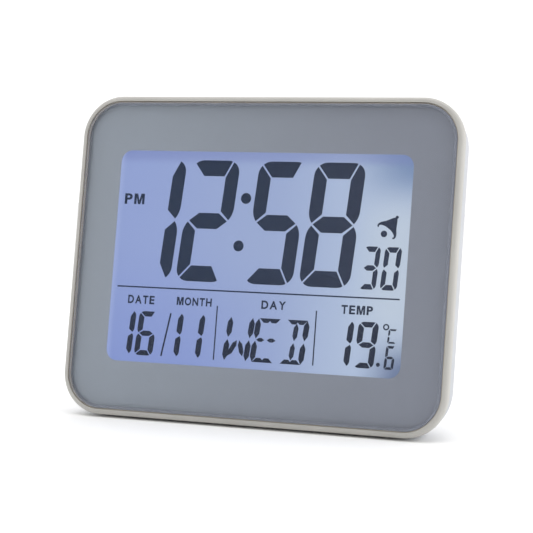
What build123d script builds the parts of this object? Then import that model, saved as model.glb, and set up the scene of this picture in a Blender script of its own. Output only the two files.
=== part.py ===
"""Desk alarm clock with a backlit liquid crystal display, as an assembly of separate pieces.

Every piece is drawn square to the face, then the whole clock leans back onto its flat base:
x runs to the viewer's right, y runs back from the face, z runs up along the face.
"""

import math
import os

from build123d import *

# ---- Driving dimensions, in millimetres and degrees ----

# Stance
LEAN = 11.4  # the face leans back from upright
RIM_CLEARANCE = 0.4  # lowest edge of the rim above the table
FOOT_PROUD = 0.6  # rubber foot below the flat base

# Front bezel
RIM_WIDTH = 120.0
RIM_HEIGHT = 96.5
RIM_CORNER = 12.5
RIM_DEPTH = 3.0  # face to parting line
RIM_ROUND = 1.4  # rounding of the rim's outer front edge
LIP = 1.55  # rim beside the lens recess
BEZEL_FLOOR = 1.6  # tray floor that carries the lens
SKIRT_DEPTH = 2.5  # inner skirt beyond the parting line
SKIRT_WALL = 1.2
SKIRT_GAP = 0.15
PARTING_EASE = 0.3  # small rounding each side of the parting line

# Lens and printed mask
LENS_GAP = 0.1  # round the lens in its recess
LENS_SUNK = 0.15  # lens front below the rim's front
LENS_THICKNESS = 1.6
LENS_BEVEL = 0.7
MASK_THICKNESS = 0.15
BAND_SIDES = 13.8  # rim's edge to the window, left and right
BAND_ENDS = 16.4  # the same, above and below
WINDOW_CORNER = 3.5
WINDOW_SHIFT = -0.7  # the window lies a little left of the middle
WINDOW_MARGIN = 1.8  # bezel opening beyond the printed window

# Rear case
CASE_STEP = 0.35  # rear case inside the rim's outline
CASE_CORNER = 13.8
CASE_ROUND = 12.0  # rounding of the rear edge
WALL = 1.8

# Battery hump and bay
HUMP_SIDES = 10.2  # hump beyond the door, each side
HUMP_HEAD = 5.55  # hump above the door
HUMP_CORNER = 9.0
HUMP_ROUND = 5.0
CELL_RADIUS = 7.1
CELL_LENGTH = 50.5
NUB_RADIUS = 2.75
NUB_LENGTH = 1.1
CELL_SPACING = 0.7  # between the two cells
CELL_GAP = 0.35
CELL_HEADROOM = 1.0  # above the upper cell
SPRING_LENGTH = 4.8
SPRING_WIRE = 0.7
SPRING_TURNS = 4
SPRING_RADIUS = 4.6
SPRING_TAPER = 0.5  # each turn smaller than the last
CONTACT_THICKNESS = 0.4
CONTACT_WIDTH = 10.4
CONTACT_HEIGHT = 11.0
CONTACT_DIMPLE = 0.6
DIMPLE_RADIUS = 2.6
TAB_LENGTH = 1.6  # solder tab beyond the bay's end wall
TAB_THICKNESS = 0.5
TAB_WIDTH = 1.8
TAB_OFFSET = 3.25  # tab in front of the cells' axes
TAB_CLEARANCE = 0.4
BAY_SLACK = 0.5
BAY_RISE = 3.88  # bay's lower wall above the base, at the hump's rear
BAY_CLEARANCE = 0.8  # board to the bay's outer face
BAY_FLOOR = 1.4
BAY_WALL = 1.2

# Battery door
DOOR_THICKNESS = 1.6
DOOR_CELL_GAP = 0.65
DOOR_MARGIN = 3.2  # door beyond the bay, each side
DOOR_TOP_MARGIN = 1.6
DOOR_CORNER = 1.5
DOOR_PIVOT_DROP = 1.0  # pivot line below the bay's lower wall
DOOR_GAP = 0.25
DOOR_FRAME = 1.2  # tray frame beyond the door's edge
DOOR_FRAME_DEPTH = 1.8
PIVOT_LENGTH = 1.6
PIVOT_STEP = 0.1  # pivot pin inside the door's round edge
PIVOT_CLEARANCE = 0.06
PIVOT_END_GAP = 0.2
TONGUE_WIDTH = 14.0
TONGUE_REACH = 3.6
TONGUE_THICKNESS = 1.0
TONGUE_GAP = 0.6
GRIP_WIDTH = 18.0
GRIP_PITCH = 1.5
GRIP_GROOVE = 0.4
GRIP_GROOVES = 5
NOTCH_RADIUS = 9.0
NOTCH_DEPTH = 1.2
PAD_THICKNESS = 0.4
PAD_LENGTH = 36.0
PAD_WIDTH = 10.0

# Display stack
POLARISER = 0.2
POLARISER_INSET = 0.4
GLASS = 1.1
GLASS_SIDES = 2.6  # glass beyond the window, left and right
GLASS_HEAD = 3.15  # the same, above
GLASS_FOOT = 5.35  # the same, below
CONTACT_LEDGE = 4.2  # front glass beyond the rear glass, at the bottom
LEDGE_CLEAR = 0.8  # front polariser stops above the ledge's strip
FILM = 0.12
FILM_GAP = 0.05
FILM_EASE = 0.03
REFLECTOR_EASE = 0.02
GUIDE_THICKNESS = 3.0
GUIDE_FOOT = 0.4  # guide below the rear glass
RIDGE_PITCH = 6.0
RIDGE_WIDTH = 0.6
RIDGE_DEPTH = 0.25
LED_SPACE = 2.4
LED_BOARD = 0.8
LED_BOARD_LENGTH = 30.0
LED_LENGTH = 3.2
LED_HEIGHT = 1.6
LED_GAP = 0.05
LED_ZS = (-7.0, 7.0)
LED_PIN_ZS = (-12.0, -10.0, 10.0, 12.0)
LED_PIN_RADIUS = 0.3
LED_PIN_GAP = 0.2
FRAME_WALL = 1.4
FRAME_GAP = 0.2
FRAME_LEDGE = 4.0  # rear ledge round the guide
FRAME_DIVIDER = 0.8  # bar between the guide and the contact strip
STRIP_THICKNESS = 2.0
STRIP_INSET = 0.5
STRIP_ENDS = 2.0

# Board and what is on it
BOARD_GAP = 0.91  # reflector to board
BOARD_THICKNESS = 1.2
BOARD_SIDES = 4.5  # rim's edge to the board, left and right
BOARD_ENDS = 11.25  # the same, above and below
SWITCH_SIDE = 6.0
SWITCH_HEIGHT = 2.6
SWITCH_BASE = 1.0
PLUNGER_RADIUS = 1.7
PLUNGER_CLEARANCE = 0.1
PLUNGER_REST = 0.8  # plunger inside its switch at rest
BLOB_PLACE = (-8.0, 8.0)
BLOB_RADIUS = 7.5
BLOB_HEIGHT = 1.6
CRYSTAL_PLACE = (8.0, 4.0)
CRYSTAL_RADIUS = 1.05
CAPACITOR_X = 17.0
CAPACITOR_DROP = 5.5  # its lower end below the middle of the sounder
CAPACITOR_RADIUS = 2.0
CAN_LENGTH = 6.0
RESISTOR_PLACE = (-30.0, 6.0)
RESISTOR_SIZE = (2.0, 0.6, 1.25)
RESISTOR_PITCH = (3.5, 6.0)
RESISTOR_COLUMNS = 4
RESISTOR_ROWS = 2
BEAD_RADIUS = 1.2
BEAD_STAND = 2.6
BEAD_LEAD = 0.25
BEAD_LEAD_X = 0.6

# Controls
BUTTON_RADIUS = 3.6
BUTTON_PROUD = 0.9
BUTTON_EDGE = 0.5
BUTTON_FLANGE = 1.2  # flange beyond the button's head
FLANGE_THICKNESS = 1.0
FLANGE_GAP = 0.1
BUTTON_GAP = 0.25
BUTTON_TRAVEL = 0.6
TRAVEL_SPARE = 0.3  # room left behind a pressed button
ROW_DROP = 9.9  # button row below the flat of the rear face
ROW_START = 13.65  # first button inside the flat of the rear face
ROW_END = 9.65  # slide switch inside it
SLIDER_EXTRA = 2.0  # slide switch further from its neighbour than the buttons' pitch
BUTTON_NAMES = ["set", "up", "down", "alarm", "unit"]
SLIDER_TRAVEL = 4.0
SLIDER_KNOB = 3.6
KNOB_HEIGHT = 3.0
KNOB_PROUD = 0.7
KNOB_GROOVE = 0.3
KNOB_GROOVES = (-0.9, 0.0, 0.9)
SLOT_GAP = 0.25
SLIDER_COVER = 0.8  # slider's flange beyond its slot
COVER_THICKNESS = 0.8
COVER_HEIGHT = 5.2
LEVER_WIDTH = 1.8
LEVER_HEIGHT = 1.7
SLIDE_SWITCH = (10.0, 3.0, 4.0)
SLIDE_SWITCH_BASE = 1.4
SLIDE_SWITCH_OPENING = 2.0
LEVER_CLEARANCE = 0.3
BAR_WIDTH = 46.0
BAR_FRONT = 6.6
BAR_DEPTH = 7.4
BAR_PROUD = 0.7
BAR_TRAVEL = 0.8
BAR_GAP = 0.25
BAR_FLANGE = 0.7
BAR_THICKNESS = 1.0
BAR_END_FLAT = 0.4
BAR_LEG_WIDTH = 5.0
BAR_LEG_THICKNESS = 2.0
BAR_SWITCH_PROUD = 0.4  # its switch beyond the board's edge
BAR_SWITCH_LENGTH = 4.6
BAR_SWITCH_HEIGHT = 3.8
BAR_SPARE = 0.7  # room left behind the pressed bar
BAR_PLUNGER_RADIUS = 1.2

# Sounder and vents
SOUNDER_SIDE = 13.65  # sounder inside the flat of the rear face
SOUNDER_RISE = 10.5  # sounder above the hump
SOUNDER_RADIUS = 10.0
SOUNDER_DISC = 0.3
CERAMIC_RADIUS = 6.8
CERAMIC_THICKNESS = 0.25
SEAT_HEIGHT = 1.1
SEAT_OUTER = 0.6  # ring seat beyond the disc
SEAT_INNER = 0.8  # ring seat under the disc
GRILLE_SLOTS = 5
GRILLE_PITCH = 3.0
GRILLE_SLOT = 1.3
GRILLE_LENGTH = 15.0
GRILLE_TAPER = 1.1
VENT_SIDE = 5.65
VENT_RISE = 10.0
VENT_SLOTS = 3
VENT_PITCH = 2.4
VENT_SLOT = 1.0
VENT_LENGTH = 7.0

# Fasteners and feet
CASE_SCREW_SIDE = 7.5  # rim's edge to a case screw, left and right
CASE_SCREW_END = 8.25  # the same, above and below
CASE_BOSS = 2.5
CASE_TUBE = 3.6
CASE_BOSS_TOP = 9.0
CASE_BOSS_GAP = 0.05
TUBE_CLEARANCE = 0.5
SCREW_SEAT = 12.5
CASE_SCREW = (1.25, 2.4, 1.6)  # shank radius, head radius, head height
BOARD_SCREW = (0.95, 1.8, 1.2)
CORE_CLEARANCE = 0.05
SHANK_CLEARANCE = 0.2
HEAD_CLEARANCE = 0.3
CORE_FLOOR = 0.6
TIP_FLOOR = 1.0
CROSS_WIDTH = 0.5
BOARD_SCREW_SIDE = 2.6  # board's edge to its screw
BOARD_SCREW_Z = 20.0
BOARD_BOSS = 2.1
FOOT_RADIUS = 3.2
FOOT_SUNK = 0.6
FOOT_GAP = 0.05
FRONT_FOOT_SIDE = 20.0  # rim's edge to a front foot
FRONT_FOOT_BACK = 8.54  # rim's foot to a front foot, along the table
REAR_FOOT_SIDE = 8.0  # hump's side to a rear foot
REAR_FOOT_FRONT = 6.1  # hump's rear to a rear foot, along the table

# Leads
BATTERY_LEAD = 0.5  # radius
SOUNDER_LEAD = 0.35
LEAD_PAD_DROP = 4.0  # battery pads below the hump's top
LEAD_SIDES = (5.6, 3.6)  # red and black lead beyond the contacts' tabs

# ---- Worked-out places ----

case_width = RIM_WIDTH - 2 * CASE_STEP
case_height = RIM_HEIGHT - 2 * CASE_STEP
flat_side = case_width / 2 - CASE_ROUND
flat_top = case_height / 2 - CASE_ROUND
recess_width = RIM_WIDTH - 2 * LIP
recess_height = RIM_HEIGHT - 2 * LIP
recess_corner = RIM_CORNER - LIP
window_width = RIM_WIDTH - 2 * BAND_SIDES
window_height = RIM_HEIGHT - 2 * BAND_ENDS
lens_back = LENS_SUNK + LENS_THICKNESS
mask_back = lens_back + MASK_THICKNESS
bezel_back = mask_back + BEZEL_FLOOR
skirt_back = RIM_DEPTH + SKIRT_DEPTH

glass_half = window_width / 2 + GLASS_SIDES
glass_top = window_height / 2 + GLASS_HEAD
glass_bottom = -window_height / 2 - GLASS_FOOT
glass_front = bezel_back + FILM_GAP + POLARISER
front_glass_back = glass_front + GLASS
rear_glass_back = front_glass_back + GLASS
rear_film = rear_glass_back + POLARISER
diffuser_front = rear_film + FILM_GAP
guide_front = diffuser_front + FILM + FILM_EASE
guide_back = guide_front + GUIDE_THICKNESS
reflector_back = guide_back + REFLECTOR_EASE + FILM
rear_glass_bottom = glass_bottom + CONTACT_LEDGE
guide_bottom = rear_glass_bottom - GUIDE_FOOT
guide_right = glass_half - LED_SPACE
led_pin_x = glass_half - LED_BOARD / 2

board_front = reflector_back + BOARD_GAP
board_back = board_front + BOARD_THICKNESS
board_half_width = RIM_WIDTH / 2 - BOARD_SIDES
board_half_height = RIM_HEIGHT / 2 - BOARD_ENDS
switch_top = board_back + SWITCH_HEIGHT
flange_front = switch_top + BUTTON_TRAVEL + TRAVEL_SPARE
inner_back = flange_front + FLANGE_THICKNESS + FLANGE_GAP
case_back = inner_back + WALL

bay_outer = board_back + BAY_CLEARANCE
bay_floor = bay_outer + BAY_FLOOR
cell_axis = bay_floor + CELL_GAP + CELL_RADIUS
door_inside = cell_axis + CELL_RADIUS + DOOR_CELL_GAP
hump_back = door_inside + DOOR_THICKNESS

lean = math.radians(LEAN)
rim_low = -RIM_HEIGHT / 2 * math.cos(lean) - RIM_DEPTH * math.sin(lean)
table_level = rim_low - RIM_CLEARANCE
base_level = table_level + FOOT_PROUD
base_front = -RIM_HEIGHT / 2 * math.sin(lean)
hump_foot = (base_level + hump_back * math.sin(lean)) / math.cos(lean)
base_rear = hump_back * math.cos(lean) + hump_foot * math.sin(lean)

bay_width = CELL_LENGTH + SPRING_LENGTH + CONTACT_DIMPLE + 2 * CONTACT_THICKNESS + BAY_SLACK
bay_bottom = hump_foot + BAY_RISE
lower_cell = bay_bottom + CELL_GAP + CELL_RADIUS
upper_cell = lower_cell + 2 * CELL_RADIUS + CELL_SPACING
bay_top = upper_cell + CELL_RADIUS + CELL_HEADROOM
contact_face = bay_width / 2 - BAY_SLACK / 2 - CONTACT_THICKNESS
tab_end = bay_width / 2 + BAY_WALL + TAB_LENGTH
door_width = bay_width + 2 * DOOR_MARGIN
door_top = bay_top + DOOR_TOP_MARGIN
pivot_y = door_inside + DOOR_THICKNESS / 2
pivot_z = bay_bottom - DOOR_PIVOT_DROP
pivot_radius = DOOR_THICKNESS / 2
pin_radius = pivot_radius - PIVOT_STEP
hump_width = door_width + 2 * HUMP_SIDES
hump_top = door_top + HUMP_HEAD

button_row = flat_top - ROW_DROP
first_button = ROW_START - flat_side
slider_x = flat_side - ROW_END
button_pitch = (slider_x - first_button - SLIDER_EXTRA) / len(BUTTON_NAMES)
button_xs = [first_button + i * button_pitch for i in range(len(BUTTON_NAMES))]
slider_rest = slider_x - SLIDER_TRAVEL / 2
bar_switch_top = board_half_height + BAR_SWITCH_PROUD
bar_leg_end = bar_switch_top + BAR_TRAVEL + BAR_SPARE
bar_leg_y = board_back + BAR_SWITCH_HEIGHT / 2

sounder_x = flat_side - SOUNDER_SIDE
sounder_z = hump_top + SOUNDER_RISE
sounder_back = inner_back - SEAT_HEIGHT
vent_x = VENT_SIDE - flat_side
vent_z = hump_top + VENT_RISE

case_screw_x = RIM_WIDTH / 2 - CASE_SCREW_SIDE
case_screw_z = RIM_HEIGHT / 2 - CASE_SCREW_END
board_screw_x = board_half_width - BOARD_SCREW_SIDE
front_foot = (RIM_WIDTH / 2 - FRONT_FOOT_SIDE, base_front + FRONT_FOOT_BACK)
rear_foot = (hump_width / 2 - REAR_FOOT_SIDE, base_rear - REAR_FOOT_FRONT)


# ---- Small makers ----

def block(x0, x1, y0, y1, z0, z1):
    """A box between two corners."""
    return Pos((x0 + x1) / 2, (y0 + y1) / 2, (z0 + z1) / 2) * Box(x1 - x0, y1 - y0, z1 - z0)


def bar(x, z, width, height, y0, y1):
    """A box round a place on the face, from depth y0 to y1."""
    return block(x - width / 2, x + width / 2, y0, y1, z - height / 2, z + height / 2)


def plate(width, height, corner, y0, y1, x=0.0, z=0.0):
    """A rounded rectangle in the face's plane, from depth y0 to y1."""
    plane = Plane(origin=(x, y0, z), x_dir=(1, 0, 0), z_dir=(0, -1, 0))
    return extrude(plane * RectangleRounded(width, height, corner), amount=y0 - y1)


def rod(x, z, radius, y0, y1):
    """A cylinder square to the face."""
    return Pos(x, (y0 + y1) / 2, z) * Rot(90, 0, 0) * Cylinder(radius, y1 - y0)


def rod_x(y, z, radius, x0, x1):
    """A cylinder across the clock."""
    return Pos((x0 + x1) / 2, y, z) * Rot(0, 90, 0) * Cylinder(radius, x1 - x0)


def rod_z(x, y, radius, z0, z1):
    """A cylinder up the face."""
    return Pos(x, y, (z0 + z1) / 2) * Cylinder(radius, z1 - z0)


def back_edges(shape):
    """The outline of a shape's rearmost flat face."""
    return shape.faces().sort_by(Axis.Y)[-1].edges()


def front_edges(shape):
    """The outline of a shape's foremost flat face."""
    return shape.faces().sort_by(Axis.Y)[0].edges()


def four_corners(x, z):
    """The four places at plus and minus x and z."""
    return [(sx * x, sz * z) for sx in (-1, 1) for sz in (-1, 1)]


def below(level):
    """Everything lower than a level height, as a block that lies square to the table."""
    size = 4 * RIM_WIDTH
    return Rot(LEAN, 0, 0) * Pos(0, 0, level - size / 2) * Box(size, size, size)


def on_table(x, y, radius, z0, z1):
    """An upright cylinder at a place on the table, z measured from the table."""
    upright = Pos(x, y, table_level + (z0 + z1) / 2) * Cylinder(radius, z1 - z0)
    return Rot(LEAN, 0, 0) * upright


def pillow(inset, front):
    """The rear case's outer form, drawn in or out by an inset, from a front depth back."""
    width = case_width - 2 * inset
    height = case_height - 2 * inset
    form = plate(width, height, CASE_CORNER - inset, front, case_back - inset)
    return fillet(back_edges(form), CASE_ROUND - inset)


def hump(inset, front):
    """The battery hump's outer form, drawn in by an inset."""
    low = -RIM_HEIGHT / 2 - HUMP_CORNER
    high = hump_top - inset
    width = hump_width - 2 * inset
    middle = (low + high) / 2
    form = plate(width, high - low, HUMP_CORNER - inset, front, hump_back - inset, z=middle)
    return fillet(back_edges(form), HUMP_ROUND - inset)


def slot(x, z, width, height, y0, y1):
    """A slot with round ends, longer along z."""
    return plate(width, height, width / 2 - 0.01, y0, y1, x=x, z=z)


def screw(x, z, seat, tip, sizes):
    """A pan-head screw driven from behind, with a cross recess."""
    shank, head, head_height = sizes
    top = seat + head_height
    body = fillet(back_edges(rod(x, z, head, seat, top)), head_height * 0.45)
    body += rod(x, z, shank, tip, seat)
    arm = head * 1.1
    floor = top - head_height / 2
    body -= bar(x, z, arm, CROSS_WIDTH, floor, top + 1)
    body -= bar(x, z, CROSS_WIDTH, arm, floor, top + 1)
    return body


# ---- Front ----

def front_bezel():
    """Rim, tray for the lens, skirt that plugs into the rear case, and bosses."""
    rim = plate(RIM_WIDTH, RIM_HEIGHT, RIM_CORNER, 0, RIM_DEPTH)
    rim = fillet(front_edges(rim), RIM_ROUND)
    rim = fillet(back_edges(rim), PARTING_EASE)
    inset = WALL + SKIRT_GAP
    skirt_size = (case_width - 2 * inset, case_height - 2 * inset, CASE_CORNER - inset)
    inner_size = [size - 2 * SKIRT_WALL for size in skirt_size[:2]]
    skirt = plate(*skirt_size, RIM_DEPTH, skirt_back)
    skirt -= plate(*inner_size, CASE_CORNER - inset - SKIRT_WALL, bezel_back, skirt_back + 1)
    skirt -= below(base_level + WALL + SKIRT_GAP)
    body = rim + skirt
    root = bezel_back - BEZEL_FLOOR / 3
    for x, z in four_corners(case_screw_x, case_screw_z):
        body += rod(x, z, CASE_BOSS, root, CASE_BOSS_TOP - CASE_BOSS_GAP)
    for x, z in four_corners(board_screw_x, BOARD_SCREW_Z):
        body += rod(x, z, BOARD_BOSS, root, board_front)
    body -= plate(recess_width, recess_height, recess_corner, -1, mask_back)
    opening = (window_width + 2 * WINDOW_MARGIN, window_height + 2 * WINDOW_MARGIN)
    body -= plate(*opening, WINDOW_CORNER, 0, skirt_back)
    core = bezel_back + CORE_FLOOR
    for x, z in four_corners(case_screw_x, case_screw_z):
        body -= rod(x, z, CASE_SCREW[0] + CORE_CLEARANCE, core, CASE_BOSS_TOP + 1)
    for x, z in four_corners(board_screw_x, BOARD_SCREW_Z):
        body -= rod(x, z, BOARD_SCREW[0] + CORE_CLEARANCE, core, board_front + 1)
    return body


def lens_outline(y0, y1):
    """A sheet that fits the recess with the lens gap round it."""
    width = recess_width - 2 * LENS_GAP
    height = recess_height - 2 * LENS_GAP
    return plate(width, height, recess_corner - LENS_GAP, y0, y1)


def front_lens():
    """Clear acrylic sheet with a bevelled front edge."""
    sheet = lens_outline(LENS_SUNK, lens_back)
    return chamfer(front_edges(sheet), LENS_BEVEL / 2, LENS_BEVEL)


def printed_mask():
    """Grey printed film behind the lens, with the window left open."""
    sheet = lens_outline(lens_back, mask_back)
    window = plate(window_width, window_height, WINDOW_CORNER, 0, case_back, WINDOW_SHIFT)
    return sheet - window


# ---- Display ----

def lcd_front_polariser():
    half = glass_half - POLARISER_INSET
    low = rear_glass_bottom - LEDGE_CLEAR
    return block(-half, half, glass_front - POLARISER, glass_front, low, glass_top - POLARISER_INSET)


def lcd_front_glass():
    return block(-glass_half, glass_half, glass_front, front_glass_back, glass_bottom, glass_top)


def lcd_rear_glass():
    low = rear_glass_bottom
    return block(-glass_half, glass_half, front_glass_back, rear_glass_back, low, glass_top)


def lcd_rear_polariser():
    half = glass_half - POLARISER_INSET
    low = rear_glass_bottom + POLARISER_INSET
    return block(-half, half, rear_glass_back, rear_film, low, glass_top - POLARISER_INSET)


def backlight_sheet(front, back):
    """A sheet of the light guide's outline."""
    return block(-glass_half, guide_right, front, back, guide_bottom, glass_top)


def diffuser_film():
    return backlight_sheet(diffuser_front, diffuser_front + FILM)


def light_guide():
    """Clear plate that spreads the light; its rear carries rows of fine ridges."""
    body = backlight_sheet(guide_front, guide_back)
    count = int((guide_right + glass_half) / RIDGE_PITCH)
    middle = (guide_bottom + glass_top) / 2
    height = glass_top - guide_bottom
    for i in range(count):
        x = -glass_half + RIDGE_PITCH * (i + 0.7)
        body -= bar(x, middle, RIDGE_WIDTH, height, guide_back - RIDGE_DEPTH, guide_back + 1)
    return body


def reflector_film():
    return backlight_sheet(guide_back + REFLECTOR_EASE, reflector_back)


def led_board():
    half = LED_BOARD_LENGTH / 2
    return block(glass_half - LED_BOARD, glass_half, guide_front, guide_back, -half, half)


def backlight_leds():
    right = glass_half - LED_BOARD
    left = guide_right + LED_GAP
    low = (guide_front + guide_back - LED_HEIGHT) / 2
    half = LED_LENGTH / 2
    solids = [block(left, right, low, low + LED_HEIGHT, z - half, z + half) for z in LED_ZS]
    return Compound(children=solids)


def led_pins():
    """Four pins from the LED board to the main board."""
    solids = [rod(led_pin_x, z, LED_PIN_RADIUS, guide_back, board_front) for z in LED_PIN_ZS]
    return Compound(children=solids)


def display_frame():
    """White holder round the glass and the light guide, with a rear ledge."""
    half = glass_half + FRAME_GAP
    outer = half + FRAME_WALL
    low = glass_bottom - FRAME_GAP
    high = glass_top + FRAME_GAP
    back = board_front - FILM_GAP
    body = block(-outer, outer, bezel_back + FILM_GAP, back, low - FRAME_WALL, high + FRAME_WALL)
    body -= block(-half, half, 0, case_back, low, high)
    ledge = reflector_back + FILM_EASE
    divider_top = guide_bottom - FILM_EASE
    divider = divider_top - FRAME_DIVIDER
    inner = half - FRAME_LEDGE
    body += block(-half, half, ledge, back, divider, high)
    body -= block(-inner, inner, 0, case_back, guide_bottom + FRAME_LEDGE / 2, high - FRAME_LEDGE)
    body += block(-half, half, rear_film + FILM_GAP, back, divider, divider_top)
    for z in LED_PIN_ZS:
        body -= rod(led_pin_x, z, LED_PIN_RADIUS + LED_PIN_GAP, ledge - 1, board_front)
    for x, z in four_corners(case_screw_x, case_screw_z):
        body -= rod(x, z, CASE_TUBE + HEAD_CLEARANCE, 0, case_back)
    return body


def connector_strip():
    """Elastomeric strip from the glass's contact ledge to the board."""
    low = glass_bottom + STRIP_INSET
    half = glass_half - STRIP_ENDS
    return block(-half, half, front_glass_back, board_front, low, low + STRIP_THICKNESS)


# ---- Board and electronics ----

def main_board():
    """Circuit board with holes for the case's screw tubes and its own screws."""
    body = bar(0, 0, 2 * board_half_width, 2 * board_half_height, board_front, board_back)
    for x, z in four_corners(case_screw_x, case_screw_z):
        body -= rod(x, z, CASE_TUBE + TUBE_CLEARANCE, 0, case_back)
    for x, z in four_corners(board_screw_x, BOARD_SCREW_Z):
        body -= rod(x, z, BOARD_SCREW[0] + SHANK_CLEARANCE, 0, case_back)
    return body


def chip_blob():
    drop = rod(*BLOB_PLACE, BLOB_RADIUS, board_back, board_back + BLOB_HEIGHT)
    return fillet(back_edges(drop), BLOB_HEIGHT - 0.2)


def quartz_crystal():
    x, z = CRYSTAL_PLACE
    return rod_z(x, board_back + CRYSTAL_RADIUS, CRYSTAL_RADIUS, z, z + CAN_LENGTH)


def capacitor():
    z = sounder_z - CAPACITOR_DROP
    return rod_z(CAPACITOR_X, board_back + CAPACITOR_RADIUS, CAPACITOR_RADIUS, z, z + CAN_LENGTH)


def chip_resistors():
    """Rows of small ceramic resistors."""
    length, height, width = RESISTOR_SIZE
    solids = []
    for row in range(RESISTOR_ROWS):
        for column in range(RESISTOR_COLUMNS):
            x = RESISTOR_PLACE[0] + RESISTOR_PITCH[0] * column
            z = RESISTOR_PLACE[1] + RESISTOR_PITCH[1] * row
            solids.append(block(x, x + length, board_back, board_back + height, z, z + width))
    return Compound(children=solids)


def temperature_sensor():
    """Glass bead thermistor on two leads, behind the vent slots."""
    stand = board_back + BEAD_STAND
    bead = Pos(vent_x, stand, vent_z) * Sphere(BEAD_RADIUS)
    for dx in (-BEAD_LEAD_X, BEAD_LEAD_X):
        bead += rod(vent_x + dx, vent_z, BEAD_LEAD, board_back, stand)
    return bead


def switch_bodies():
    """The five tactile switches behind the buttons, without their plungers."""
    bore = PLUNGER_RADIUS + PLUNGER_CLEARANCE
    solids = []
    for x in button_xs:
        body = bar(x, button_row, SWITCH_SIDE, SWITCH_SIDE, board_back, switch_top)
        solids.append(body - rod(x, button_row, bore, board_back + SWITCH_BASE, switch_top + 1))
    return Compound(children=solids)


def snooze_switch():
    """Right-angle tactile switch at the board's top edge."""
    half = SWITCH_SIDE / 2
    low = bar_switch_top - BAR_SWITCH_LENGTH
    body = block(-half, half, board_back, board_back + BAR_SWITCH_HEIGHT, low, bar_switch_top)
    bore = BAR_PLUNGER_RADIUS + PLUNGER_CLEARANCE
    depth = PLUNGER_REST + 2 * BAR_TRAVEL
    return body - rod_z(0, bar_leg_y, bore, bar_switch_top - depth, bar_switch_top + 1)


def slide_switch():
    """Slide switch can, open on top for its lever."""
    length, height, width = SLIDE_SWITCH
    top = board_back + height
    body = bar(slider_x, button_row, length, width, board_back, top)
    reach = SLIDER_TRAVEL + LEVER_WIDTH + 2 * LEVER_CLEARANCE
    floor = board_back + SLIDE_SWITCH_BASE
    return body - bar(slider_x, button_row, reach, SLIDE_SWITCH_OPENING, floor, top + 1)


# ---- Controls ----

def rear_button(x):
    """Round cap with a flange behind the wall."""
    tip = case_back + BUTTON_PROUD
    head = rod(x, button_row, BUTTON_RADIUS, flange_front, tip)
    head = fillet(back_edges(head), BUTTON_EDGE)
    flange_back = flange_front + FLANGE_THICKNESS
    return head + rod(x, button_row, BUTTON_RADIUS + BUTTON_FLANGE, flange_front, flange_back)


def button_plunger(x):
    return rod(x, button_row, PLUNGER_RADIUS, switch_top - PLUNGER_REST, flange_front)


def alarm_slider():
    """Slider lever, its cover flange and the knob that stands in the wall's slot."""
    x = slider_rest
    z = button_row
    cover_back = inner_back - FLANGE_GAP
    cover_front = cover_back - COVER_THICKNESS
    tip = case_back + KNOB_PROUD
    knob = plate(SLIDER_KNOB, KNOB_HEIGHT, KNOB_GROOVE, cover_front, tip, x=x, z=z)
    for offset in KNOB_GROOVES:
        knob -= bar(x + offset, z, KNOB_GROOVE, KNOB_HEIGHT + 1, tip - KNOB_GROOVE, tip + 1)
    reach = SLIDER_KNOB + 2 * (SLIDER_TRAVEL + SLIDER_COVER)
    cover = bar(x, z, reach, COVER_HEIGHT, cover_front, cover_back)
    lever_tip = board_back + SLIDE_SWITCH_BASE + LEVER_CLEARANCE
    return knob + cover + bar(x, z, LEVER_WIDTH, LEVER_HEIGHT, lever_tip, cover_back)


def bar_plan(margin, z0, z1):
    """The snooze bar's outline seen from above, as an upright prism with round ends."""
    width = BAR_WIDTH + 2 * margin
    depth = BAR_DEPTH + 2 * margin
    plane = Plane(origin=(0, BAR_FRONT + BAR_DEPTH / 2, z0), x_dir=(1, 0, 0), z_dir=(0, 0, 1))
    return extrude(plane * RectangleRounded(width, depth, depth / 2 - BAR_END_FLAT), amount=z1 - z0)


def snooze_bar():
    """Bar that follows the case's top, with a flange inside and a leg to its switch."""
    low = flat_top
    high = case_height / 2 + CASE_ROUND
    inside = WALL + FLANGE_GAP
    front = BAR_FRONT - BAR_FLANGE - BAR_GAP - 1
    solid = bar_plan(0, low, high) & pillow(-BAR_PROUD, front)
    solid += bar_plan(BAR_FLANGE, low, high) & pillow(inside, front)
    solid -= pillow(inside + BAR_THICKNESS, front - 1)
    half = BAR_LEG_WIDTH / 2
    leg_front = bar_leg_y - BAR_LEG_THICKNESS / 2
    leg_back = bar_leg_y + BAR_LEG_THICKNESS / 2
    leg = block(-half, half, leg_front, leg_back, bar_leg_end, case_height / 2)
    return solid + (leg & pillow(inside + BAR_THICKNESS / 2, front))


def snooze_plunger():
    low = bar_switch_top - PLUNGER_REST - BAR_TRAVEL / 2
    return rod_z(0, bar_leg_y, BAR_PLUNGER_RADIUS, low, bar_leg_end)


# ---- Rear case ----

def door_form(gap, top_gap):
    """The door's plate and its round pivot edge, grown by a gap."""
    half = door_width / 2 + gap
    body = block(-half, half, door_inside - gap, hump_back + 1, pivot_z, door_top + top_gap)
    return body + rod_x(pivot_y, pivot_z, pivot_radius + gap, -half, half)


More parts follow.
